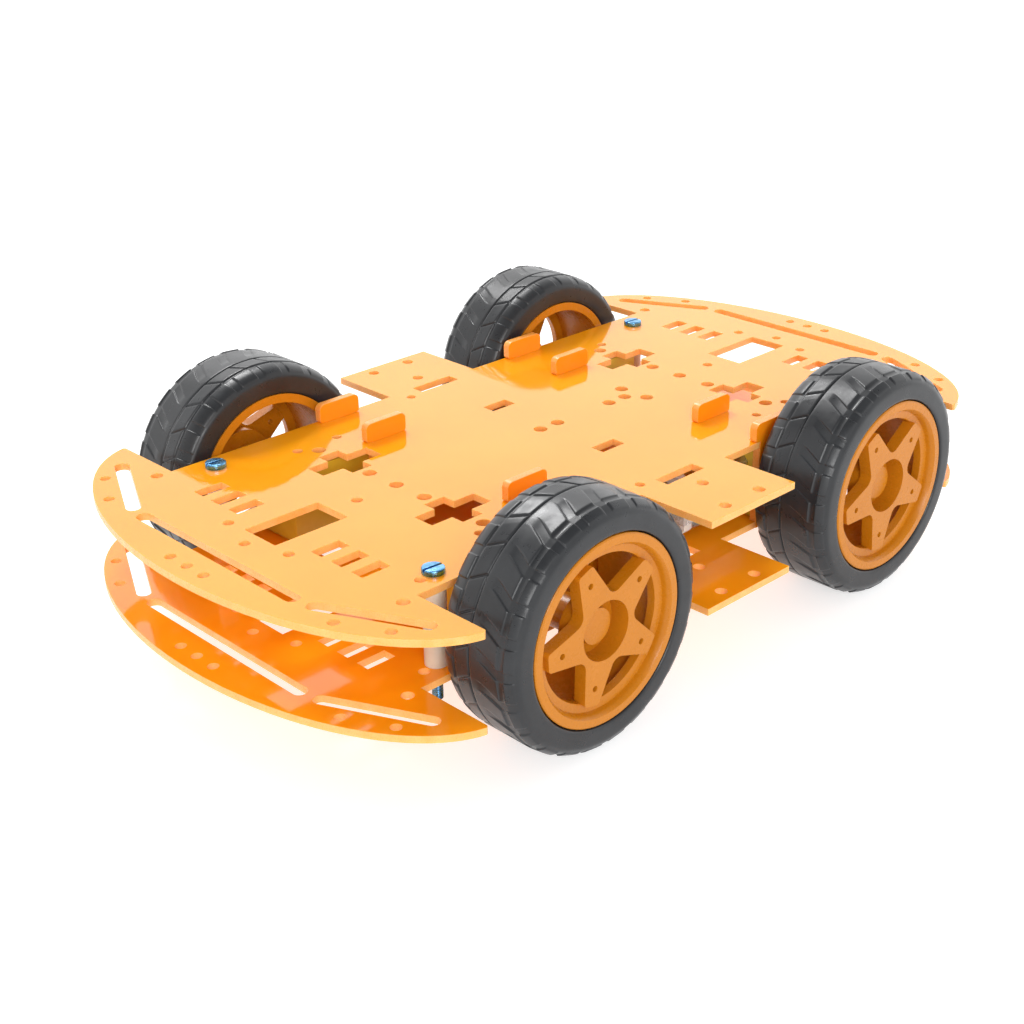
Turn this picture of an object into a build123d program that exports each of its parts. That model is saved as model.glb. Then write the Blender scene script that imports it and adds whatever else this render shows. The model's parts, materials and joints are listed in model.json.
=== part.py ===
from build123d import *
from math import cos, hypot, pi, radians, sin, sqrt, tan
import os

# Four wheel robot chassis: two acrylic decks, four geared hobby motors held by acrylic
# brackets between them, and four wheels.
# Frame: +X forward, +Y left, +Z up; origin on the ground below the middle of the chassis.
# Millimetres.

# ---------------------------------------------------------------- driving dimensions
WHEEL_R = 33.0                  # tyre radius, and height of the axles
AXLE_X = 58.7                   # half the wheelbase
SHEET = 2.0                     # acrylic sheet of the decks
DECK_GAP = 23.0                 # clear height between the decks
GEARBOX_H = 22.5
GEARBOX_PLAY = 0.05             # between a gearbox and the lower deck
GEARBOX_T = 18.8                # gearbox thickness, across the chassis
MOTOR_Y = 39.2                  # middle plane of a gearbox, from the chassis centre

LOWER_TOP = WHEEL_R - GEARBOX_H / 2 - GEARBOX_PLAY
LOWER_BOTTOM = LOWER_TOP - SHEET
UPPER_BOTTOM = LOWER_TOP + DECK_GAP
UPPER_TOP = UPPER_BOTTOM + SHEET

# deck outline
DECK_END_X = 129.0              # tip of the curved bumper
BUMPER_X = 95.0                 # straight inner edge of the bumper
BUMPER_Y = 75.0                 # half width of the bumper's ellipse
BUMPER_RISE = 38.0              # the ellipse's half length along X
BUMPER_TIP_R = 0.8
BODY_Y = 50.8                   # half width between the wheels
WING_X = 17.2
WING_Y = 74.6

# brackets
BRACKET_T = 2.4                 # acrylic sheet of the brackets
STEM_W = 10.4
HEAD_W, HEAD_H = 14.4, 5.6      # the part that rests on the upper deck
HEAD_TOP_R, HEAD_LOW_R = 1.8, 0.9
SLOT_PLAY = 0.2                 # of a bracket in its slot
HOLE_X = 20.6                   # gearbox mounting holes, from the output axis
HOLE_Z = 8.4

# fasteners
M3_R = 1.5
M3_HOLE_R = 1.6
NUT_FLATS = 5.5
NUT_H = 2.4
NUT_PLAY = 0.02
HEAD_SLOT_W, HEAD_SLOT_D = 0.8, 0.8
CORNER_SCREW_L, CORNER_HEAD_R, CORNER_HEAD_H = 35.0, 2.9, 1.5
CORNER_SLOT_TURN = -5.0         # degrees, of the slots in the corner screws' heads
BRACKET_SCREW_L, BRACKET_HEAD_R, BRACKET_HEAD_H = 30.0, 2.75, 1.7
SPACER_R = 3.0
CORNERS_XY = [(84.6, 44.8), (84.6, -44.8), (-84.6, 43.6), (-84.6, -43.6)]

# wheel, measured from the chassis centre along Y
WHEEL_OUT_Y = 78.2
WHEEL_IN_Y = 53.4
RIM_R = 24.6                    # seat of the tyre
LIP_R = 25.0
LIP_IN_R = 22.0
HUB_R = 4.75
SPOKES = 5
GROOVE_Y0, GROOVE_Y1, GROOVE_R = 63.7, 64.5, 32.2
SHAFT_R = 2.7                   # output shaft outside the gearbox
SHAFT_FLATS = 3.7
SHAFT_OUT = 9.0
FIT = 0.05                      # radial clearance of a running fit

# gearbox, in its own frame: x towards the motor, y along the output shaft, z up
CASE_FRONT = -11.4
CASE_BACK = 25.6
CASE_WALL = 1.3
CASE_INNER_Y = GEARBOX_T / 2 - CASE_WALL
GEAR_MODULE = 0.75
BIG_TEETH, SMALL_TEETH = 22, 10
PIN_X = GEAR_MODULE * (BIG_TEETH + SMALL_TEETH) / 2      # second gear axis
CROWN_TEETH, PINION_TEETH = 36, 8
CROWN_R = 8.0
PINION_MODULE = 2 * CROWN_R / CROWN_TEETH
PIN_R, PIN_END = 1.0, 8.9
INNER_SHAFT_R = 2.2
JOURNAL_R = 3.4
CAN_R, CAN_FLAT = 10.05, 7.7
CAN_WALL = 0.8
CAN_BACK = 50.0
MOTOR_BACK = 54.6
MOTOR_SHAFT_R = 1.0
STRAP_W, STRAP_T = 7.0, 0.6

ENDS = {"front": 1, "rear": -1}
SIDES = {"left": 1, "right": -1}
CORNERS = [(end + "_" + side, ENDS[end], SIDES[side]) for end in ENDS for side in SIDES]

os.makedirs("parts", exist_ok=True)


def save(name, shape):
    """Write one node; a list of solids becomes one group of separate solids."""
    if isinstance(shape, list):
        shape = Compound(children=shape)
    export_step(shape, "parts/" + name + ".step")


def box(x0, x1, y0, y1, z0, z1):
    return Pos((x0 + x1) / 2, (y0 + y1) / 2, (z0 + z1) / 2) * Box(x1 - x0, y1 - y0, z1 - z0)


def rod_y(radius, y0, y1, x=0.0, z=0.0):
    """A cylinder along Y."""
    return Pos(x, (y0 + y1) / 2, z) * Rot(90, 0, 0) * Cylinder(radius, abs(y1 - y0))


def rod_x(radius, x0, x1):
    """A cylinder along X."""
    return Pos((x0 + x1) / 2, 0, 0) * Rot(0, 90, 0) * Cylinder(radius, x1 - x0)


def four_ways(x, y):
    return [(sx * x, sy * y) for sx in (1, -1) for sy in (1, -1)]


# ---------------------------------------------------------------- decks
def deck_outline():
    outline = Rectangle(2 * BUMPER_X + 2, 2 * BODY_Y) + Rectangle(2 * WING_X, 2 * WING_Y)
    for s in (1, -1):
        oval = Pos(s * (DECK_END_X - BUMPER_RISE), 0) * Ellipse(BUMPER_RISE, BUMPER_Y)
        outline += oval & Pos(s * (BUMPER_X + 50), 0) * Rectangle(100, 200)
    tip_y = BUMPER_Y * sqrt(1 - ((BUMPER_X - DECK_END_X + BUMPER_RISE) / BUMPER_RISE) ** 2)
    corners = [v for v in outline.vertices() if abs(v.X) > BUMPER_X - 1]
    return fillet([v for v in corners if abs(abs(v.Y) - tip_y) < 0.5], BUMPER_TIP_R)


def deck_cutouts():
    """Every opening of a deck, as one sketch."""
    cuts = []

    def hole(x, y, diameter):
        cuts.append(Pos(x, y) * Circle(diameter / 2))

    def slot(x, y, length_x, length_y):
        cuts.append(Pos(x, y) * Rectangle(length_x, length_y))

    for sx in (1, -1):
        slot(sx * 91.0, 0, 23.0, 12.8)                      # cable window
        for y in (17.4, 25.2, 33.0):
            slot(sx * 94.0, y, 8.7, 4.2)
            slot(sx * 94.0, -y, 8.7, 4.2)
        for y in (-11.2, 0, 11.2):
            hole(sx * 57.9, y, 4.0)
        hole(sx * 71.4, 0, 3.2)
        hole(sx * 107.1, 0, 3.0)
        for y in (-7.05, 0, 7.05):
            hole(sx * 124.0, y, 3.0)
        cuts.append(Pos(sx * 116.1, 0) * SlotOverall(66.6, 4.0, rotation=90))
        hole(sx * 3.45, 0, 4.0)
    for x, y in four_ways(1, 1):
        hole(x * 57.7, y * 33.6, 4.0)
        hole(x * 62.4, y * 37.3, 3.0)
        hole(x * 48.2, y * 37.6, 2.8)
        hole(x * 103.0, y * 12.6, 3.0)
        hole(x * 99.4, y * 51.1, 3.4)
        hole(x * 116.6, y * 47.2, 3.0)
        hole(x * 110.2, y * 59.6, 3.0)
        hole(x * 7.0, y * 70.6, 3.4)
        slot(x * 57.6, y * 22.1, 20.5, 6.8)                 # servo cross
        slot(x * 57.6, y * 22.1, 6.8, 14.9)
        inner_y = MOTOR_Y - GEARBOX_T / 2 - BRACKET_T / 2
        slot(x * (AXLE_X - HOLE_X), y * inner_y, STEM_W + SLOT_PLAY, BRACKET_T + SLOT_PLAY)
        notch_y = MOTOR_Y + (GEARBOX_T - SLOT_PLAY) / 2
        slot(x * (AXLE_X - HOLE_X), y * (notch_y + 5), STEM_W + SLOT_PLAY, 10)
        cuts.append(Pos(x * 108.8, y * 50.8) * SlotOverall(32.4, 4.0, rotation=x * y * -64.2))
    for x, y in CORNERS_XY:
        hole(x, y, 2 * M3_HOLE_R)
    for s in (1, -1):
        slot(0, s * 49.3, 15.0, 4.4)
        slot(-1.1, s * 22.1, 8.9, 4.5)
        hole(0.2, s * 57.4, 3.4)
        hole(12.6, s * 46.2, 2.8)
    hole(-25.5, 0, 4.0)
    hole(-32.4, 0, 4.0)
    hole(-36.6, 5.1, 4.0)
    hole(-36.6, -5.1, 4.0)
    hole(89.4, 45.6, 3.0)
    return Sketch() + cuts


def deck(bottom):
    return Pos(0, 0, bottom) * extrude(deck_outline() - deck_cutouts(), SHEET)


# ---------------------------------------------------------------- brackets
def bracket(y_low):
    """A T of sheet across the chassis: head on the upper deck, stem down into the lower deck."""
    stem_top = UPPER_TOP + HEAD_H / 2
    stem = Pos(0, (stem_top + LOWER_BOTTOM) / 2) * Rectangle(STEM_W, stem_top - LOWER_BOTTOM)
    head = Pos(0, stem_top) * Rectangle(HEAD_W, HEAD_H)
    head = fillet(head.vertices().group_by(Axis.Y)[-1], HEAD_TOP_R)
    head = fillet(head.vertices().group_by(Axis.Y)[0], HEAD_LOW_R)
    face = stem + head
    for s in (1, -1):
        face -= Pos(0, WHEEL_R + s * HOLE_Z) * Circle(M3_HOLE_R)
    return Pos(0, y_low + BRACKET_T, 0) * Rot(90, 0, 0) * extrude(face, BRACKET_T)


# ---------------------------------------------------------------- fasteners
def slotted_screw(length, head_r, head_h):
    """Along -Z from the head's seat at z = 0."""
    head = Pos(0, 0, head_h / 2) * Cylinder(head_r, head_h)
    head = fillet(head.edges().group_by(Axis.Z)[-1], 0.4)
    head -= Pos(0, 0, head_h) * Box(3 * head_r, HEAD_SLOT_W, 2 * HEAD_SLOT_D)
    return head + Pos(0, 0, -length / 2) * Cylinder(M3_R, length)


def hex_nut():
    """Standing on z = 0."""
    body = extrude(RegularPolygon(NUT_FLATS / 2, 6, major_radius=False), NUT_H)
    return body - Pos(0, 0, NUT_H / 2) * Cylinder(M3_R + NUT_PLAY, 2 * NUT_H)


def spacer():
    ring = Circle(SPACER_R) - Circle(M3_HOLE_R)
    return extrude(ring, DECK_GAP)


# ---------------------------------------------------------------- gears
def gear_profile(teeth, module, phase=0.0):
    """Straight-flanked teeth with generous backlash; phase is the angle of one tooth, in degrees."""
    pitch_r = teeth * module / 2
    tip_r, root_r = pitch_r + 0.8 * module, pitch_r - 1.1 * module
    half_tip, half_root = 36 / teeth, 101 / teeth
    tooth = ((root_r, -half_root), (tip_r, -half_tip), (tip_r, half_tip), (root_r, half_root))
    points = []
    for i in range(teeth):
        for radius, offset in tooth:
            a = radians(phase + 360 * i / teeth + offset)
            points.append((radius * cos(a), radius * sin(a)))
    return make_face(Polyline(*points, close=True))


def spur(teeth, y0, y1, x=0.0, phase=0.0, module=GEAR_MODULE):
    """A spur gear along Y; its angles run from +X towards +Z."""
    flat = gear_profile(teeth, module, phase)
    return Pos(x, y1, 0) * Rot(90, 0, 0) * extrude(flat, y1 - y0)


def output_gear():
    shaft = rod_y(INNER_SHAFT_R, -CASE_INNER_Y, CASE_INNER_Y)
    gear = shaft + spur(BIG_TEETH, 5.3, 7.7)
    flat_bar = box(-SHAFT_R, SHAFT_R, -40, 40, -SHAFT_FLATS / 2, SHAFT_FLATS / 2)
    for s in (1, -1):
        gear += rod_y(JOURNAL_R, s * (CASE_INNER_Y - 0.3), s * (GEARBOX_T / 2))
        gear += rod_y(SHAFT_R, s * GEARBOX_T / 2, s * (GEARBOX_T / 2 + SHAFT_OUT)) & flat_bar
    return gear


def idler_gear():
    gear = spur(BIG_TEETH, -0.4, 2.0) + spur(SMALL_TEETH, 1.9, 4.9)
    return gear - rod_y(INNER_SHAFT_R + FIT, -5, 10)


def compound_gear():
    big = spur(BIG_TEETH, 2.5, 4.8, PIN_X, 180 / BIG_TEETH)
    gear = big + spur(SMALL_TEETH, 4.7, 7.8, PIN_X, 180 / SMALL_TEETH)
    return gear - rod_y(PIN_R + FIT, 0, 10, PIN_X)


CROWN_FLOOR = -2.3              # root of the crown gear's face teeth


def crown_gear():
    disc = rod_y(9.2, CROWN_FLOOR - 1.3, CROWN_FLOOR, PIN_X)
    gear = disc + spur(SMALL_TEETH, CROWN_FLOOR - 0.1, 2.1, PIN_X, 180 / SMALL_TEETH)
    pitch = 2 * CROWN_R * pi / CROWN_TEETH
    low, high, rise = 0.29 * pitch, 0.11 * pitch, 0.95
    tooth_face = make_face(Polyline((-low, -0.1), (-high, rise), (high, rise), (low, -0.1), close=True))
    # the face's own x runs along the rim and its y is the tooth's height
    tooth_plane = Plane((CROWN_R - 0.6, CROWN_FLOOR, 0), x_dir=(0, 0, -1), z_dir=(1, 0, 0))
    tooth = extrude(tooth_plane * tooth_face, 1.6)
    for i in range(CROWN_TEETH):
        gear += Pos(PIN_X, 0, 0) * Rot(0, 360 * i / CROWN_TEETH, 0) * tooth
    return gear - rod_y(PIN_R + FIT, -10, 10, PIN_X)


def armature():
    """The motor's shaft with its pinion, wound core and commutator."""
    pinion = gear_profile(PINION_TEETH, PINION_MODULE, 180 / PINION_TEETH)
    turned = Plane((18.2, 0, 0), x_dir=(0, 1, 0), z_dir=(1, 0, 0)) * pinion
    shape = rod_x(MOTOR_SHAFT_R, 17.9, 53.8) + extrude(turned, 4.2)
    core = rod_x(5.8, 31, 44)
    for a in (0, 120, 240):
        core -= Rot(a, 0, 0) * box(30, 45, 3.2, 6.5, -0.8, 0.8)
    return shape + core + rod_x(2.4, 44, 48)


# ---------------------------------------------------------------- gearbox and motor
def case_block(y0, y1, inset=0.0):
    flat = RectangleRounded(CASE_BACK - CASE_FRONT - 2 * inset, GEARBOX_H - 2 * inset, 2.2 - inset / 2)
    flat = Pos((CASE_FRONT + CASE_BACK) / 2, 0) * flat
    return Pos(0, y1, 0) * Rot(90, 0, 0) * extrude(flat, y1 - y0)


def gearbox_half(s):
    """The half on side s of the middle plane: +1 towards the wheel, -1 away from it."""
    y_in, y_out = sorted((0, s * CASE_INNER_Y)), sorted((0, s * GEARBOX_T / 2))
    half = case_block(*y_out) - case_block(*y_in, inset=1.2)
    for z in (HOLE_Z, -HOLE_Z):
        half += rod_y(2.5, 0, s * GEARBOX_T / 2, HOLE_X, z) & case_block(*y_out)
    if s < 0:
        half += rod_y(2.2, CROWN_FLOOR - 1.6, -CASE_INNER_Y - 0.2, PIN_X)      # boss of the gear pin
    for z in (HOLE_Z, -HOLE_Z):
        half -= rod_y(M3_HOLE_R, -10, 10, HOLE_X, z)
    half -= rod_y(PIN_R, -PIN_END, PIN_END, PIN_X)
    half -= rod_y(JOURNAL_R + FIT, -10, 10)
    half -= rod_x(3.05, CASE_BACK - 3, CASE_BACK + 1)
    strap_y = sorted((s * (GEARBOX_T / 2 - STRAP_T - 0.05), s * 12))
    return half - box(16.0, 30, *strap_y, -STRAP_W / 2 - 0.1, STRAP_W / 2 + 0.1)


def can_profile(radius, flat, x0, x1):
    return rod_x(radius, x0, x1) & box(x0 - 1, x1 + 1, -flat, flat, -radius, radius)


def motor_can():
    shell = can_profile(CAN_R, CAN_FLAT, CASE_BACK, CAN_BACK)
    shell -= can_profile(CAN_R - CAN_WALL, CAN_FLAT - CAN_WALL, CASE_BACK + CAN_WALL, CAN_BACK + 1)
    shell += rod_x(3.0, CASE_BACK - 1.1, CASE_BACK + 0.1)
    return shell - rod_x(MOTOR_SHAFT_R + FIT, 20, 30)


def motor_end_cap():
    cap = can_profile(CAN_R, CAN_FLAT, CAN_BACK, 53.0)
    cap += can_profile(CAN_R - CAN_WALL - 0.05, CAN_FLAT - CAN_WALL - 0.05, 48.8, CAN_BACK + 0.1)
    cap += rod_x(3.0, 52.9, MOTOR_BACK)
    return cap - rod_x(MOTOR_SHAFT_R + FIT, 40, 54.0)


def motor_magnets():
    """Two curved magnets against the inside of the can."""
    ring = rod_x(9.1, 30, 46) - rod_x(6.3, 29, 47)
    return [ring & box(29, 47, -6.0, 6.0, *sorted((s * 4.5, s * 10))) for s in (1, -1)]


def motor_terminals():
    return [box(53.0, 56.4, -1.2, 1.2, *sorted((s * 6.0, s * 6.5))) for s in (1, -1)]


def motor_strap():
    """A thin band from one face of the gearbox round the back of the motor to the other face."""
    y, half = GEARBOX_T / 2, STRAP_W / 2
    return box(16.2, 55.4, -y, y, -half, half) - box(10, 54.8, STRAP_T - y, y - STRAP_T, -9, 9)


# ---------------------------------------------------------------- wheel
def star():
    """Five tapered spokes with round valleys, in the XZ plane's own x and y."""
    tip, tip_half, taper = 19.6, 2.5, 0.23
    half_turn = pi / SPOKES
    valley = (tip_half + taper * tip) / (tan(half_turn) + taper)
    points = []
    for i in range(SPOKES):
        a = 2 * half_turn * i
        for x, y in ((tip, -tip_half), (tip, tip_half), (valley, valley * tan(half_turn))):
            points.append((x * cos(a) - y * sin(a), x * sin(a) + y * cos(a)))
    shape = make_face(Polyline(*points, close=True))
    shape = fillet([v for v in shape.vertices() if hypot(v.X, v.Y) < tip / 2], 2.8)
    shape = fillet([v for v in shape.vertices() if hypot(v.X, v.Y) > tip], 1.1)
    for i in range(SPOKES):
        shape -= Rot(0, 0, 360 * i / SPOKES) * Pos(15.0, 0) * Circle(0.8)
    return shape


def rim(spoke_angle):
    """The wheel's rim about the Y axis, with its outer face towards +Y."""
    ring = Polyline(
        (LIP_IN_R, WHEEL_IN_Y + 0.3), (RIM_R, WHEEL_IN_Y + 0.3), (RIM_R, 76.6), (LIP_R, 76.8),
        (LIP_R, 77.7), (LIP_R - 0.4, 78.0), (LIP_IN_R + 0.6, 78.0), (LIP_IN_R, 77.2),
        (LIP_IN_R - 0.4, 75.6), (19.4, 75.2), (19.2, 73.0), (LIP_IN_R, 72.6), close=True)
    shape = revolve(make_face(ring), Axis.Y)
    shape += Pos(0, 77.0, 0) * Rot(90, 0, 0) * extrude(Rot(0, 0, spoke_angle) * star(), 3.6)
    shape += rod_y(9.4, 70.0, 77.0)
    shape -= rod_y(7.85, 71.4, 80.0)
    shape += rod_y(HUB_R, 50.2, 73.9)
    flat = SHAFT_FLATS / 2 + FIT
    return shape - (rod_y(SHAFT_R + FIT, 50.0, 58.4) & box(-4, 4, 40, 60, -flat, flat))


def tyre():
    """Hollow-backed rubber tyre with a groove round the tread."""
    y0, y1 = WHEEL_IN_Y, WHEEL_OUT_Y
    seat = RIM_R + 0.05
    section = make_face(
        Polyline((seat, 76.5), (seat, y0 + 0.2), (26.5, y0))
        + ThreePointArc((26.5, y0), (31.2, y0 + 1.1), (WHEEL_R, y0 + 4.6))
        + Polyline((WHEEL_R, y0 + 4.6), (WHEEL_R, GROOVE_Y0), (GROOVE_R, GROOVE_Y0),
                   (GROOVE_R, GROOVE_Y1), (WHEEL_R, GROOVE_Y1), (WHEEL_R, y1 - 4.4))
        + ThreePointArc((WHEEL_R, y1 - 4.4), (31.4, y1 - 1.0), (28.0, y1))
        + Polyline((28.0, y1), (LIP_R + 0.3, y1 - 0.3), (LIP_R + 0.1, 76.5), (seat, 76.5)))
    return revolve(section, Axis.Y)


# ---------------------------------------------------------------- assembly
def motor_place(end, side):
    """One motor design, turned half a turn about an axis for each other corner."""
    turns = {(-1, 1): (0, 0, 0), (1, -1): (0, 0, 180), (-1, -1): (180, 0, 0), (1, 1): (0, 180, 0)}
    return Pos(end * AXLE_X, side * MOTOR_Y, WHEEL_R) * Rot(*turns[end, side])


def wheel_place(end, side):
    return Pos(end * AXLE_X, 0, WHEEL_R) * Rot(0, 0, 0 if side > 0 else 180)


def main():
    save("upper_deck", deck(UPPER_BOTTOM))
    save("lower_deck", deck(LOWER_BOTTOM))

    corners = [Pos(x, y, 0) for x, y in CORNERS_XY]
    corner_screw = Rot(0, 0, CORNER_SLOT_TURN) * slotted_screw(CORNER_SCREW_L, CORNER_HEAD_R, CORNER_HEAD_H)
    save("corner_screws", [p * Pos(0, 0, UPPER_TOP) * corner_screw for p in corners])
    save("corner_spacers", [p * Pos(0, 0, LOWER_TOP) * spacer() for p in corners])
    save("corner_nuts", [p * Pos(0, 0, LOWER_BOTTOM - NUT_H) * hex_nut() for p in corners])

    inner_y = MOTOR_Y - GEARBOX_T / 2 - BRACKET_T
    outer_y = MOTOR_Y + GEARBOX_T / 2
    screw, nut = slotted_screw(BRACKET_SCREW_L, BRACKET_HEAD_R, BRACKET_HEAD_H), hex_nut()
    screws, nuts = [], []
    for x, side in [(s * (AXLE_X - HOLE_X), t) for s in (1, -1) for t in (1, -1)]:
        for z in (WHEEL_R - HOLE_Z, WHEEL_R + HOLE_Z):
            screws.append(Pos(x, side * (outer_y + BRACKET_T), z) * Rot(-90 * side, 0, 0) * screw)
            nuts.append(Pos(x, side * (inner_y - NUT_H), z) * Rot(-90 * side, 0, 0) * nut)
    save("bracket_screws", screws)
    save("bracket_nuts", nuts)

    motor_parts = {
        "gearbox_cover": gearbox_half(1), "gearbox_base": gearbox_half(-1), "motor_can": motor_can(),
        "motor_end_cap": motor_end_cap(), "armature": armature(), "crown_gear": crown_gear(),
        "idler_gear": idler_gear(), "compound_gear": compound_gear(), "output_gear": output_gear()}
    shared = {
        "gear_pins": [rod_y(PIN_R, -PIN_END, PIN_END, PIN_X)], "motor_magnets": motor_magnets(),
        "motor_terminals": motor_terminals(), "motor_straps": [motor_strap()]}
    wheel_tyre = tyre()
    spoke_angles = {"front_left": -3.7, "rear_left": -11.0, "front_right": 30.0, "rear_right": 50.0}
    for name, end, side in CORNERS:
        place = motor_place(end, side)
        for part, shape in motor_parts.items():
            save(name + "_" + part, place * shape)
        wheel = wheel_place(end, side)
        save(name + "_rim", wheel * rim(spoke_angles[name]))
        save(name + "_tyre", wheel * wheel_tyre)
        pair = [bracket(min(side * y, side * (y + BRACKET_T))) for y in (inner_y, outer_y)]
        save(name + "_brackets", [Pos(end * (AXLE_X - HOLE_X), 0, 0) * b for b in pair])
    for part, shapes in shared.items():
        save(part, [motor_place(end, side) * s for _, end, side in CORNERS for s in shapes])


main()
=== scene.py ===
import json
from math import cos, pi, radians, sin

import bmesh
import bpy
from mathutils import Matrix, Vector


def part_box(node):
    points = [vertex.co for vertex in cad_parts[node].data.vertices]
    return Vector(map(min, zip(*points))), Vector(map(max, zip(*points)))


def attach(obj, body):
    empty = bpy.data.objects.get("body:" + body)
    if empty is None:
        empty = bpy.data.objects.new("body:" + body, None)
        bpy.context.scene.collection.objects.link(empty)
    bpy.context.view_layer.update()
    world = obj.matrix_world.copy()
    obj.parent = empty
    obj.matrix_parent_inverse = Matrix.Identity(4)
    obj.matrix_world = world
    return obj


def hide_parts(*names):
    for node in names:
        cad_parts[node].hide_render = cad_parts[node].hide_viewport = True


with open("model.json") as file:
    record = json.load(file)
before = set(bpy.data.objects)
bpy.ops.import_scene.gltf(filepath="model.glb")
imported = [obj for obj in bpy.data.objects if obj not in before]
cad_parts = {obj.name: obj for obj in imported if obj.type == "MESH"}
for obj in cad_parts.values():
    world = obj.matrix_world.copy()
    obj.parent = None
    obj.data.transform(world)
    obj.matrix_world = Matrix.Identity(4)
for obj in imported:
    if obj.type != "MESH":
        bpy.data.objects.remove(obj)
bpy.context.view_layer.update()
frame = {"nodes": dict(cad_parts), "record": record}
scene = bpy.context.scene
scene.view_settings.view_transform = "Standard"

MM = 0.001
CORNERS = ("front_left", "front_right", "rear_left", "rear_right")
DECK_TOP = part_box("upper_deck")[1].z
SLOT_OF = {s["node"]: s["material_slot"] for s in frame["record"]["subparts"]}
BODY_OF = {n: b for b, names in frame["record"]["behaviour"]["bodies"].items() for n in names}


# ---------------------------------------------------------------- materials
class Paint:
    """One material: a Principled shader and the nodes that feed it."""

    def __init__(self, name, **sockets):
        self.material = bpy.data.materials.new(name)
        self.material.use_nodes = True
        self.tree = self.material.node_tree
        self.tree.nodes.clear()
        output = self.add("OutputMaterial")
        self.shader = self.add("BsdfPrincipled")
        self.link(self.shader.outputs[0], output.inputs["Surface"])
        coordinates = self.add("TexCoord")
        self.place = coordinates.outputs["Object"]
        self.facing = coordinates.outputs["Normal"]
        for socket, value in sockets.items():
            self.shader.inputs[socket.replace("_", " ")].default_value = value

    def add(self, kind, **settings):
        node = self.tree.nodes.new("ShaderNode" + kind)
        for key, value in settings.items():
            setattr(node, key, value)
        return node

    def link(self, a, b):
        self.tree.links.new(a, b)

    def stretched(self, factors):
        node = self.add("Mapping")
        node.inputs["Scale"].default_value = factors
        self.link(self.place, node.inputs["Vector"])
        return node.outputs[0]

    def noise(self, per_metre, detail=3.0, roughness=0.55, stretch=None):
        """Noise from 0 to 1; stretch scales the place along each axis first, to draw it into lines."""
        node = self.add("TexNoise")
        node.inputs["Scale"].default_value = per_metre
        node.inputs["Detail"].default_value = detail
        node.inputs["Roughness"].default_value = roughness
        self.link(self.stretched(stretch) if stretch else self.place, node.inputs["Vector"])
        return node.outputs[0]

    def remap(self, value, low, high, to_low, to_high):
        """The range low to high taken to to_low to to_high, and held there past its ends."""
        node = self.add("MapRange")
        for i, v in enumerate((low, high, to_low, to_high)):
            node.inputs[i + 1].default_value = v
        self.link(value, node.inputs[0])
        return node.outputs[0]

    def math(self, operation, a, b=None):
        node = self.add("Math", operation=operation)
        for socket, v in zip(node.inputs, (a, b)):
            if v is None:
                continue
            if isinstance(v, (int, float)):
                socket.default_value = v
            else:
                self.link(v, socket)
        return node.outputs[0]

    def mix(self, share, a, b):
        """Colour a where share is 0 and b where it is 1; each is a colour or a socket."""
        node = self.add("Mix", data_type="RGBA")
        self.link(share, node.inputs[0])
        for socket, v in ((node.inputs[6], a), (node.inputs[7], b)):
            if isinstance(v, tuple):
                socket.default_value = (*v, 1.0)
            else:
                self.link(v, socket)
        return node.outputs[2]

    def along(self, axis):
        """1 where the surface faces along the named axis and 0 where it faces across it."""
        split = self.add("SeparateXYZ")
        self.link(self.facing, split.inputs[0])
        size = self.math("ABSOLUTE", split.outputs["XYZ".index(axis)])
        return self.remap(size, 0.45, 0.75, 0.0, 1.0)

    def colour(self, socket):
        self.link(socket, self.shader.inputs["Base Color"])

    def roughness(self, socket):
        self.link(socket, self.shader.inputs["Roughness"])

    def bumps(self, *layers):
        """Stacked bumps; each layer is (height socket, depth in metres, strength)."""
        last = None
        for height, depth, strength in layers:
            node = self.add("Bump")
            node.inputs["Distance"].default_value = depth
            node.inputs["Strength"].default_value = strength
            self.link(height, node.inputs["Height"])
            if last is not None:
                self.link(last, node.inputs["Normal"])
            last = node.outputs[0]
        self.link(last, self.shader.inputs["Normal"])


def acrylic(name, sheet_axis, deep, pale, edge_deep, edge_pale):
    """Orange sheet: deep colour and gloss on its faces, and paler, rougher, striated cut edges."""
    p = Paint(name, IOR=1.49, Subsurface_Weight=0.3, Subsurface_Scale=0.003,
              Subsurface_Radius=(1.0, 0.55, 0.12))
    face = p.along(sheet_axis)
    cloud = p.remap(p.noise(28, 2), 0.3, 0.7, 0.0, 1.0)
    edge = p.mix(p.remap(p.noise(240, 2), 0.35, 0.65, 0.0, 1.0), edge_deep, edge_pale)
    p.colour(p.mix(face, edge, p.mix(cloud, deep, pale)))
    smear = p.remap(p.noise(60, 5, 0.7), 0.35, 0.75, 0.035, 0.11)
    cut = p.remap(p.noise(2600, 2), 0.3, 0.7, 0.22, 0.38)
    p.roughness(p.math("ADD", p.math("MULTIPLY", face, smear),
                       p.math("MULTIPLY", p.math("SUBTRACT", 1.0, face), cut)))
    fine = {"X": (0.06, 1, 1), "Y": (1, 0.06, 1), "Z": (1, 1, 0.06)}[sheet_axis]
    striations = p.math("MULTIPLY", p.noise(5200, 2, 0.5, fine), p.math("SUBTRACT", 1.0, face))
    p.bumps((p.noise(26, 1), 0.0006, 0.22), (striations, 0.00006, 0.8))
    return p.material


def rim_plastic():
    """Orange plastic with faint flow marks in its colour."""
    p = Paint("rim_plastic", IOR=1.5, Specular_IOR_Level=0.3)
    flow = p.remap(p.noise(120, 3, 0.6), 0.3, 0.7, 0.0, 1.0)
    p.colour(p.mix(flow, (0.50, 0.168, 0.005), (0.53, 0.182, 0.007)))
    p.roughness(p.remap(p.noise(420, 4, 0.6), 0.3, 0.7, 0.24, 0.32))
    p.bumps((p.noise(160, 2), 0.00008, 0.2), (p.noise(3800, 2), 0.00001, 0.2))
    return p.material


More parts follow.
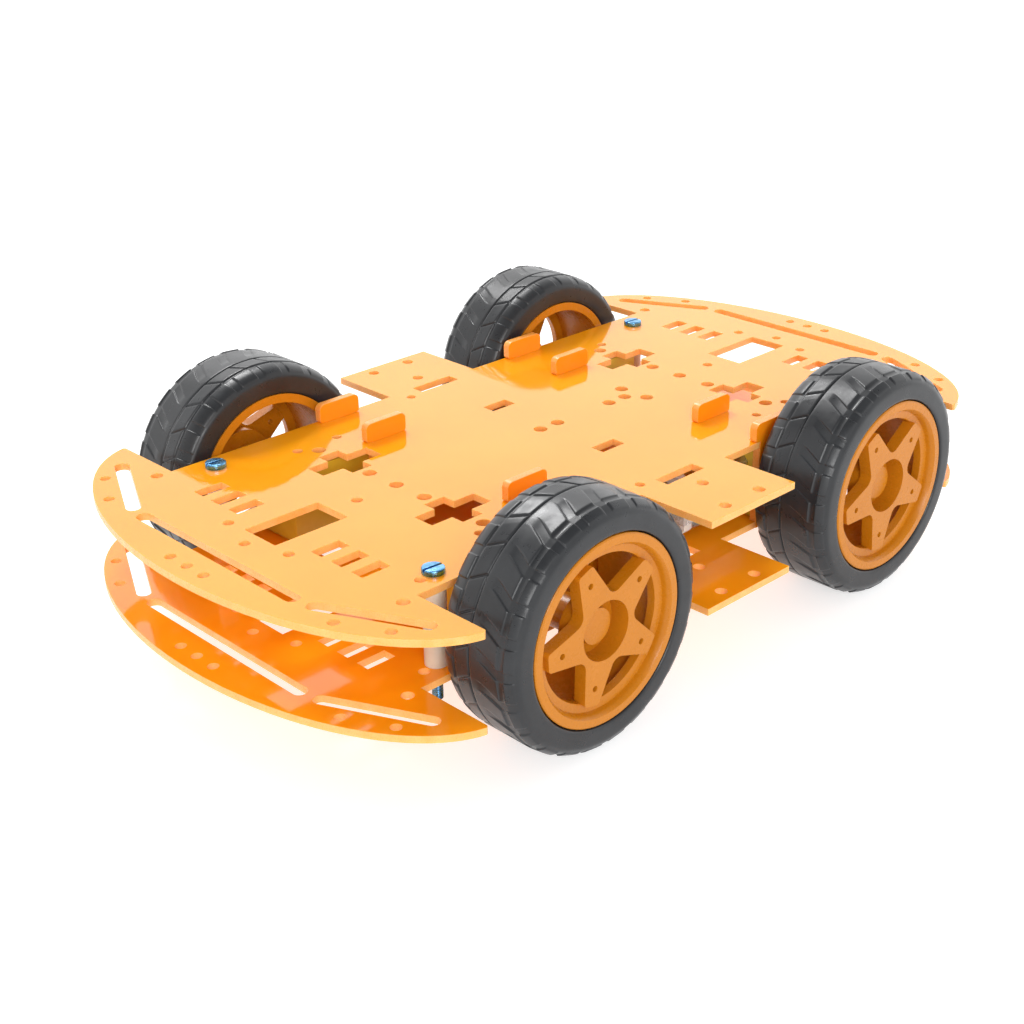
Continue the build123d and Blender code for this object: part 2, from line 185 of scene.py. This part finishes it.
def tyre_rubber():
    """Black rubber with a faint, uneven bloom."""
    p = Paint("tyre_rubber", IOR=1.5, Specular_IOR_Level=0.42)
    bloom = p.remap(p.noise(90, 5, 0.65), 0.35, 0.72, 0.0, 1.0)
    p.colour(p.mix(bloom, (0.015, 0.016, 0.018), (0.024, 0.026, 0.029)))
    p.roughness(p.remap(p.noise(300, 4, 0.6), 0.3, 0.7, 0.25, 0.38))
    p.bumps((p.noise(700, 2), 0.00003, 0.2), (p.noise(5200, 2), 0.00001, 0.25))
    return p.material


def plated(name, colour_a, colour_b):
    """Bright metal whose tint wanders between two colours."""
    p = Paint(name, Metallic=1.0)
    tint = p.remap(p.noise(700, 3), 0.35, 0.65, 0.0, 1.0)
    p.colour(p.mix(tint, colour_a, colour_b))
    p.roughness(p.remap(p.noise(2600, 3), 0.3, 0.7, 0.20, 0.36))
    p.bumps((p.noise(3000, 3), 0.00004, 0.4))
    return p.material


def moulded(name, colour_a, colour_b, rough, subsurface=0.2):
    """Plain injection-moulded plastic with a fine spark-eroded grain."""
    p = Paint(name, IOR=1.5, Subsurface_Weight=subsurface, Subsurface_Scale=0.0012,
              Subsurface_Radius=(1.0, 0.8, 0.5))
    p.colour(p.mix(p.remap(p.noise(150, 3), 0.3, 0.7, 0.0, 1.0), colour_a, colour_b))
    p.roughness(p.remap(p.noise(900, 3), 0.3, 0.7, rough - 0.06, rough + 0.08))
    p.bumps((p.noise(2600, 3), 0.00005, 0.5), (p.noise(130, 2), 0.0002, 0.2))
    return p.material


def drawn_steel():
    """Bare steel with fine lines along X from drawing or turning."""
    p = Paint("drawn_steel", Metallic=1.0)
    lines = p.noise(420, 4, 0.6, (0.05, 1, 1))
    p.colour(p.mix(p.remap(lines, 0.3, 0.7, 0.0, 1.0), (0.47, 0.47, 0.47), (0.66, 0.655, 0.64)))
    p.roughness(p.remap(p.noise(1500, 3, 0.6, (0.08, 1, 1)), 0.3, 0.7, 0.22, 0.38))
    p.bumps((p.noise(3200, 2, 0.5, (0.04, 1, 1)), 0.00002, 0.6))
    return p.material


def strap_plastic():
    """Clear, slightly wavy plastic."""
    p = Paint("strap_plastic", IOR=1.46, Transmission_Weight=0.55)
    p.colour(p.mix(p.remap(p.noise(200, 3), 0.3, 0.7, 0.0, 1.0), (0.86, 0.88, 0.88), (0.93, 0.94, 0.93)))
    p.roughness(p.remap(p.noise(500, 3), 0.3, 0.7, 0.16, 0.3))
    p.bumps((p.noise(150, 2), 0.0003, 0.4))
    return p.material


def magnet_ferrite():
    """Dull black ceramic."""
    p = Paint("magnet_ferrite", IOR=1.6)
    p.colour(p.mix(p.remap(p.noise(900, 4), 0.3, 0.7, 0.0, 1.0), (0.03, 0.03, 0.033), (0.07, 0.07, 0.075)))
    p.roughness(p.remap(p.noise(1500, 3), 0.3, 0.7, 0.5, 0.7))
    p.bumps((p.noise(2500, 4), 0.0001, 0.5))
    return p.material


MATERIALS = {
    "acrylic_sheet": acrylic("acrylic_deck", "Z", (0.95, 0.330, 0.005), (0.97, 0.360, 0.010),
                             (0.96, 0.41, 0.10), (0.98, 0.46, 0.14)),
    "rim_plastic": rim_plastic(),
    "tyre_rubber": tyre_rubber(),
    "zinc_screw": plated("zinc_screw", (0.08, 0.25, 0.46), (0.19, 0.42, 0.66)),
    # nylon spacers: white nylon given a darker, orange-tinted colour, which is painted shade and painted
    # orange bounce light
    "nylon": moulded("nylon", (0.62, 0.55, 0.44), (0.71, 0.65, 0.54), 0.42, 0.35),
    "gearbox_plastic": moulded("gearbox_plastic", (0.58, 0.37, 0.018), (0.66, 0.44, 0.030), 0.36),
    "gear_plastic": moulded("gear_plastic", (0.78, 0.76, 0.70), (0.86, 0.85, 0.80), 0.38),
    "shaft_plastic": moulded("shaft_plastic", (0.80, 0.78, 0.72), (0.88, 0.87, 0.82), 0.36),
    "cap_plastic": moulded("cap_plastic", (0.74, 0.74, 0.72), (0.84, 0.84, 0.82), 0.45),
    "strap_plastic": strap_plastic(),
    "steel": drawn_steel(),
    "magnet": magnet_ferrite(),
    "brass": plated("brass", (0.66, 0.44, 0.16), (0.80, 0.58, 0.26)),
}
BRACKET_ACRYLIC = acrylic("acrylic_bracket", "Y", (0.97, 0.27, 0.004), (0.98, 0.30, 0.008),
                          (0.96, 0.33, 0.05), (0.98, 0.38, 0.08))


# ---------------------------------------------------------------- mesh tools
MERGE = 0.002          # mm: vertices closer than this are one
FLAT = radians(0.4)    # faces that bend less than this are one flat
CREASE = radians(30)   # edges that bend more than this are rounded off
SHARP = radians(40)    # edges that bend more than this are still shaded as edges


def finished(name, bm, node, sharp=SHARP, material=None):
    """Turns a bmesh in metres into a piece that stands for a CAD node and rides on its body."""
    slot = SLOT_OF[node]
    mesh = bpy.data.meshes.new(name)
    bm.to_mesh(mesh)
    bm.free()
    mesh.materials.clear()
    mesh.materials.append(material or MATERIALS[slot])
    mesh.polygons.foreach_set("use_smooth", [True] * len(mesh.polygons))
    mesh.set_sharp_from_angle(angle=sharp)
    piece = bpy.data.objects.new(name, mesh)
    scene.collection.objects.link(piece)
    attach(piece, BODY_OF[node])
    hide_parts(node)
    return piece


def rounded_copy(node, width_mm):
    """A CAD node's own shape with its flats merged and its sharp edges rounded off."""
    bm = bmesh.new()
    bm.from_mesh(frame["nodes"][node].data)
    bmesh.ops.remove_doubles(bm, verts=bm.verts, dist=MERGE * MM)
    bmesh.ops.dissolve_limit(bm, angle_limit=FLAT, verts=bm.verts, edges=bm.edges)
    creases = [e for e in bm.edges if len(e.link_faces) == 2 and e.calc_face_angle() > CREASE]
    bmesh.ops.bevel(bm, geom=creases, offset=width_mm * MM, segments=2, profile=0.5,
                    affect="EDGES", clamp_overlap=True)
    return bm


def refined(node, width_mm, material=None):
    """A piece with the CAD node's shape and rounded edges that catch the light."""
    piece = finished(node + "_finish", rounded_copy(node, width_mm), node, material=material)
    modifier = piece.modifiers.new("weighted_normals", "WEIGHTED_NORMAL")
    modifier.keep_sharp = True


def islands(bm):
    """The separate solids of a mesh, each as its list of vertices."""
    left, found = set(bm.verts), []
    while left:
        group, waiting = [], [left.pop()]
        while waiting:
            v = waiting.pop()
            group.append(v)
            for e in v.link_edges:
                other = e.other_vert(v)
                if other in left:
                    left.remove(other)
                    waiting.append(other)
        found.append(group)
    return found


# ---------------------------------------------------------------- screw threads, in millimetres
THREAD_PITCH, THREAD_R, THREAD_CORE = 0.5, 1.5, 1.2
THREAD_STEPS, THREAD_SIDES = 6, 18      # rings in a pitch, and sides of the shank
TIP_CHAMFER = 0.1                       # how much thinner than the core the shank's end is
NEAR_SHANK = 0.05                       # how far off the plain shank its vertices may lie
INTO_HEAD = 0.2                         # how far the threaded shank runs into the head
SCREW_EDGE = 0.10                       # the rounding on the edges of the head and the shank
CORE_SHARE = 0.7                        # the CAD shank, made thinner, stays hidden in the thread


def add_thread(bm, tip, direction, length):
    """A threaded shank from its chamfered tip towards the screw's head."""
    across = direction.orthogonal().normalized()
    beside = direction.cross(across)
    rings = []
    for k in range(int(length / THREAD_PITCH * THREAD_STEPS) + 1):
        d = k * THREAD_PITCH / THREAD_STEPS
        ring = []
        for i in range(THREAD_SIDES):
            a = 2 * pi * i / THREAD_SIDES
            rise = 1 - abs(2 * ((d / THREAD_PITCH - i / THREAD_SIDES) % 1.0) - 1)
            r = min(THREAD_CORE + (THREAD_R - THREAD_CORE) * rise, THREAD_CORE - TIP_CHAMFER + d)
            place = direction * d + across * (r * cos(a)) + beside * (r * sin(a))
            ring.append(bm.verts.new(tip + place * MM))
        rings.append(ring)
    for low, high in zip(rings, rings[1:]):
        for i in range(THREAD_SIDES):
            j = (i + 1) % THREAD_SIDES
            bm.faces.new((low[i], low[j], high[j], high[i]))
    bm.faces.new(list(reversed(rings[0])))
    bm.faces.new(rings[-1])


def threaded(node, direction_of, length):
    """The screws of a node with real threads; direction_of(centre) points from a tip to its head."""
    bm = rounded_copy(node, SCREW_EDGE)
    for group in islands(bm):
        low = Vector([min(v.co[i] for v in group) for i in range(3)])
        high = Vector([max(v.co[i] for v in group) for i in range(3)])
        centre = (low + high) / 2
        direction = direction_of(centre)
        far = max((v.co - centre).dot(direction) for v in group)
        tip = centre - direction * far
        for v in group:
            along = (v.co - tip).dot(direction)
            offset = v.co - tip - direction * along
            if offset.length < (THREAD_R + NEAR_SHANK) * MM and along < (length + NEAR_SHANK) * MM:
                v.co -= offset * (1 - CORE_SHARE)
        add_thread(bm, tip, direction, length + INTO_HEAD)
    bmesh.ops.recalc_face_normals(bm, faces=bm.faces)
    finished(node + "_finish", bm, node)


# ---------------------------------------------------------------- camera, floor and light
SENSOR, LENS = 36.0, 56.16                              # mm
CAMERA_PLACE = Vector((0.3046, 0.3010, DECK_TOP + 0.1744))
CAMERA_RIGHT = Vector((-0.7170, 0.6969, -0.0123))       # the picture's rightward direction
CAMERA_BACK = Vector((0.6267, 0.6522, 0.4264))          # away from what the camera looks at
CAR_MIDDLE = Vector((0, 0, 0.03))
AWAY_FROM_CAMERA = (-0.68, -0.73, 0.0)
NEAR_SKY, FAR_SKY = 1.05, 1.75          # the sky's strength on the camera's side and across from it
NEAR_EDGE, FAR_EDGE = -0.25, 0.45       # where the change from one to the other starts and ends
# the sky's level by height, the sine of the angle above the horizon
SKY_LEVELS = ((0.0, 0.95), (0.25, 1.0), (0.58, 1.0), (0.69, 0.56), (0.8, 0.34), (1.0, 0.28))
FLOOR_SIZE = 40.0
FLOOR_GLOW = 0.62


def make_camera():
    data = bpy.data.cameras.new("camera")
    data.sensor_width = SENSOR
    data.lens = LENS
    data.clip_start, data.clip_end = 0.01, 50.0
    camera = bpy.data.objects.new("camera", data)
    scene.collection.objects.link(camera)
    back = CAMERA_BACK.normalized()
    up = back.cross(CAMERA_RIGHT.normalized()).normalized()
    turn = Matrix((up.cross(back), up, back)).transposed().to_4x4()
    camera.matrix_world = Matrix.Translation(CAMERA_PLACE) @ turn
    scene.camera = camera


def softbox(name, place, size, power):
    """A white rectangular lamp that points at the middle of the car."""
    data = bpy.data.lights.new(name, "AREA")
    data.shape = "RECTANGLE"
    data.size, data.size_y = size
    data.energy = power
    lamp = bpy.data.objects.new(name, data)
    scene.collection.objects.link(lamp)
    lamp.location = place
    lamp.rotation_euler = (CAR_MIDDLE - Vector(place)).to_track_quat("-Z", "Y").to_euler()


def make_world():
    """A white sky: bright up to half height and dim overhead, brightest across from the camera."""
    world = bpy.data.worlds.new("studio")
    scene.world = world
    world.use_nodes = True
    tree = world.node_tree
    tree.nodes.clear()
    place = tree.nodes.new("ShaderNodeTexCoord")
    split = tree.nodes.new("ShaderNodeSeparateXYZ")
    ramp = tree.nodes.new("ShaderNodeValToRGB")
    across = tree.nodes.new("ShaderNodeVectorMath")
    side = tree.nodes.new("ShaderNodeMapRange")
    sky = tree.nodes.new("ShaderNodeBackground")
    output = tree.nodes.new("ShaderNodeOutputWorld")
    across.operation = "DOT_PRODUCT"
    across.inputs[1].default_value = AWAY_FROM_CAMERA
    for i, value in enumerate((NEAR_EDGE, FAR_EDGE, NEAR_SKY, FAR_SKY)):
        side.inputs[i + 1].default_value = value
    tree.links.new(place.outputs["Generated"], split.inputs[0])
    tree.links.new(place.outputs["Generated"], across.inputs[0])
    tree.links.new(split.outputs["Z"], ramp.inputs[0])
    tree.links.new(across.outputs["Value"], side.inputs[0])
    tree.links.new(ramp.outputs[0], sky.inputs[0])
    tree.links.new(side.outputs[0], sky.inputs["Strength"])
    tree.links.new(sky.outputs[0], output.inputs[0])
    elements = ramp.color_ramp.elements
    while len(elements) < len(SKY_LEVELS):
        elements.new(0.5)
    for element, (height, level) in zip(elements, SKY_LEVELS):
        element.position = height
        element.color = (level, level, level, 1.0)


def make_floor():
    """A pale floor that glows a little, so that it stays as white as the sky behind it."""
    bm = bmesh.new()
    bmesh.ops.create_grid(bm, x_segments=8, y_segments=8, size=FLOOR_SIZE)
    mesh = bpy.data.meshes.new("floor")
    bm.to_mesh(mesh)
    bm.free()
    floor = bpy.data.objects.new("floor", mesh)
    scene.collection.objects.link(floor)
    p = Paint("floor", Roughness=0.85, Emission_Color=(1.0, 1.0, 1.0, 1.0), Emission_Strength=FLOOR_GLOW)
    p.colour(p.mix(p.noise(3), (0.58, 0.58, 0.58), (0.62, 0.62, 0.62)))
    mesh.materials.append(p.material)


make_camera()
make_world()
make_floor()
softbox("key", (-0.25, -0.75, 1.05), (0.45, 0.3), 8.5)
softbox("fill", (0.9, 1.3, 0.7), (0.8, 0.6), 13.0)


# ---------------------------------------------------------------- tyre
TREADS = 24
PITCH = 360.0 / TREADS
TYRE_PHASE = {"front_left": 2.6, "rear_left": 12.3, "front_right": 6.0, "rear_right": 1.0}
# angles across one tread block and the gap after it, in degrees
COLUMNS = (0.0, 0.3, 5.0, 9.7, 10.0, 10.25, 10.6, 12.5, 13.7, 14.0, 14.4, 14.75)
SOLID = ()              # a row with no lowered columns
GAP = COLUMNS[5:]       # the columns of the wide gap between two blocks
SIPE = COLUMNS[9:]      # those of the narrow one
# plain rows across the tyre, in mm: distance from the middle of the chassis, radius
BEAD_AND_INNER_WALL = (
    (60.0, 24.65), (53.9, 24.65), (53.6, 25.0), (53.42, 26.0), (53.42, 27.6), (53.42, 29.2),
    (53.5, 30.0), (53.75, 30.5), (53.98, 30.8))
# rows of the tread: distance, radius, radius of the lowered columns, which columns are lowered,
# and how far round the slanted pattern has moved, in degrees
TREAD = (
    (54.1, 31.2, 30.9, GAP, 0.0), (54.9, 31.9, 31.55, GAP, 0.0), (56.3, 32.55, 32.2, GAP, 0.0),
    (58.2, 32.9, 32.55, GAP, 0.0), (58.4, 32.9, 32.55, GAP, 0.0), (58.5, 32.55, 32.55, SOLID, 0.2),
    (59.3, 32.55, 32.55, SOLID, 0.8), (59.4, 33.0, 32.6, SIPE, 1.1), (59.6, 33.0, 32.6, SIPE, 1.3),
    (61.5, 33.0, 32.6, SIPE, 3.3), (63.6, 33.0, 32.6, SIPE, 5.4), (63.86, 33.0, 32.6, SIPE, 5.4),
    (63.94, 32.5, 32.5, SOLID, 5.5), (64.3, 32.5, 32.5, SOLID, 5.7), (64.38, 33.0, 33.0, SOLID, 5.7),
    (64.6, 33.0, 33.0, SOLID, 5.7), (66.6, 33.0, 33.0, SOLID, 5.7), (67.3, 33.0, 32.92, GAP, 5.4),
    (68.6, 33.0, 32.7, GAP, 4.4), (70.5, 33.0, 32.6, GAP, 2.7), (73.15, 33.0, 32.6, GAP, 0.25),
    (73.35, 33.0, 32.6, GAP, 0.05), (73.43, 32.6, 32.6, SOLID, 0.0), (75.17, 32.4, 32.4, SOLID, 0.0),
    (75.25, 32.78, 32.4, GAP, 0.0), (75.45, 32.74, 32.36, GAP, 0.0), (76.4, 32.25, 31.9, GAP, 0.0),
    (77.2, 31.65, 31.3, GAP, 0.0), (77.4, 31.4, 31.1, GAP, 0.0))
OUTER_WALL_AND_SEAT = (
    (77.5, 31.0), (77.85, 30.5), (78.1, 29.9), (78.18, 29.2), (78.18, 27.0), (78.15, 25.9),
    (77.95, 25.45), (77.4, 25.3), (76.6, 25.2), (76.4, 24.65), (70.0, 24.65))


def plain_rows(profile):
    return tuple((y, r, r, SOLID, 0.0) for y, r in profile)


def tyre_mesh(phase):
    """A left-hand tyre round the Y axis: closed rows, with columns that follow the slanted blocks."""
    bm = bmesh.new()
    rings = []
    rows = plain_rows(BEAD_AND_INNER_WALL) + TREAD + plain_rows(OUTER_WALL_AND_SEAT)
    for y, high, low, lowered, slant in rows:
        ring = []
        for i in range(TREADS):
            for column in COLUMNS:
                a = radians(phase + i * PITCH + column + slant)
                r = low if column in lowered else high
                ring.append(bm.verts.new((r * cos(a) * MM, y * MM, r * sin(a) * MM)))
        rings.append(ring)
    for near, far in zip(rings, rings[1:] + rings[:1]):
        for i in range(len(near)):
            j = (i + 1) % len(near)
            bm.faces.new((near[i], near[j], far[j], far[i]))
    bmesh.ops.recalc_face_normals(bm, faces=bm.faces)
    return bm


def wheel_place(corner):
    """Takes a left-hand tyre to a corner; a right-hand one is the same tyre turned round."""
    low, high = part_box(corner + "_tyre")
    centre = (low + high) / 2
    turn = Matrix.Rotation(0 if centre.y > 0 else pi, 4, "Z")
    return Matrix.Translation((centre.x, 0, centre.z)) @ turn


for corner in CORNERS:
    bm = tyre_mesh(TYRE_PHASE[corner])
    bm.transform(wheel_place(corner))
    tyre = finished(corner + "_treaded_tyre", bm, corner + "_tyre", sharp=pi)
    modifier = tyre.modifiers.new("rounding", "SUBSURF")
    modifier.levels = modifier.render_levels = 1


# ---------------------------------------------------------------- the CAD nodes
for node, thing in frame["nodes"].items():
    thing.data.materials.clear()
    thing.data.materials.append(MATERIALS[SLOT_OF[node]])

# the width of the rounding on each node's edges, in mm
SHEET_EDGE = 0.16
ROUNDED = {
    "upper_deck": SHEET_EDGE, "lower_deck": SHEET_EDGE, "corner_spacers": 0.12, "corner_nuts": 0.15,
    "bracket_nuts": 0.15, "motor_straps": 0.08, "motor_terminals": 0.06,
}
ROUNDED_AT_CORNERS = {
    "gearbox_cover": 0.2, "gearbox_base": 0.2, "motor_can": 0.2, "motor_end_cap": 0.15, "rim": 0.25,
}
CORNER_SCREW, BRACKET_SCREW = 35.0, 30.0    # mm, below the head

for node, width in ROUNDED.items():
    refined(node, width)
threaded("corner_screws", lambda centre: Vector((0, 0, 1)), CORNER_SCREW)
threaded("bracket_screws", lambda centre: Vector((0, 1 if centre.y > 0 else -1, 0)), BRACKET_SCREW)
for corner in CORNERS:
    refined(corner + "_brackets", SHEET_EDGE, BRACKET_ACRYLIC)
    for part, width in ROUNDED_AT_CORNERS.items():
        refined(f"{corner}_{part}", width)
